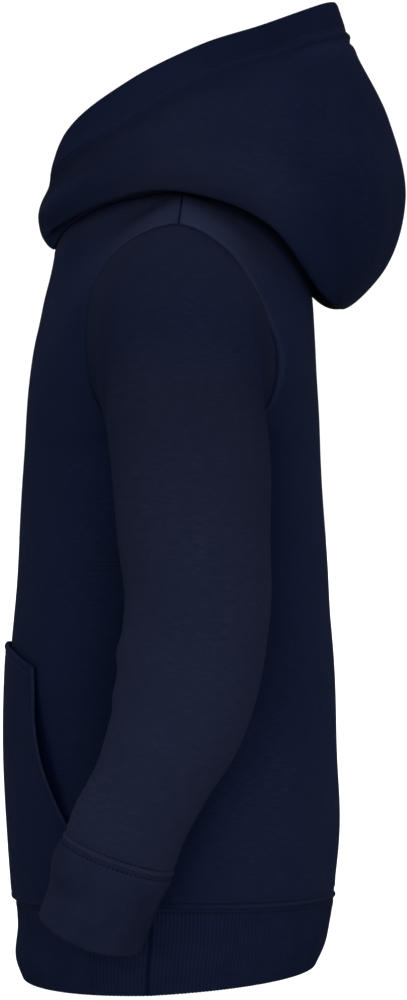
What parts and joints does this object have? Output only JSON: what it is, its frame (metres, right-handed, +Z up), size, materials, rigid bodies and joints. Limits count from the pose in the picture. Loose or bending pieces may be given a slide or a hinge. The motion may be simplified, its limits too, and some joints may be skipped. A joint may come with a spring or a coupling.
{
  "type": "toddler hoodie",
  "caption": "Toddler's plain navy pullover hoodie in brushed sweatshirt knit, filled out as if worn, with a lowered hood, a kangaroo pocket, and ribbed cuffs and hem.",
  "frame": {"origin": "middle of the neck opening, level with the inner ends of the shoulder seams", "axes": "+Z up, -Y towards the front of the garment, +X towards the wearer's left"},
  "size_m": [0.386, 0.2209, 0.5343],
  "materials": {
    "sweat_knit": "matt brushed cotton sweatshirt knit, navy",
    "rib_knit": "matt cotton rib knit, navy"
  },
  "bodies": {
    "root": {"front": "sweat_knit", "back": "sweat_knit", "sleeve_left": "sweat_knit", "sleeve_right": "sweat_knit", "hood_left": "sweat_knit", "hood_right": "sweat_knit", "pocket": "sweat_knit", "cuff_left": "rib_knit", "cuff_right": "rib_knit", "hem_band": "rib_knit"}
  },
  "joints": []
}
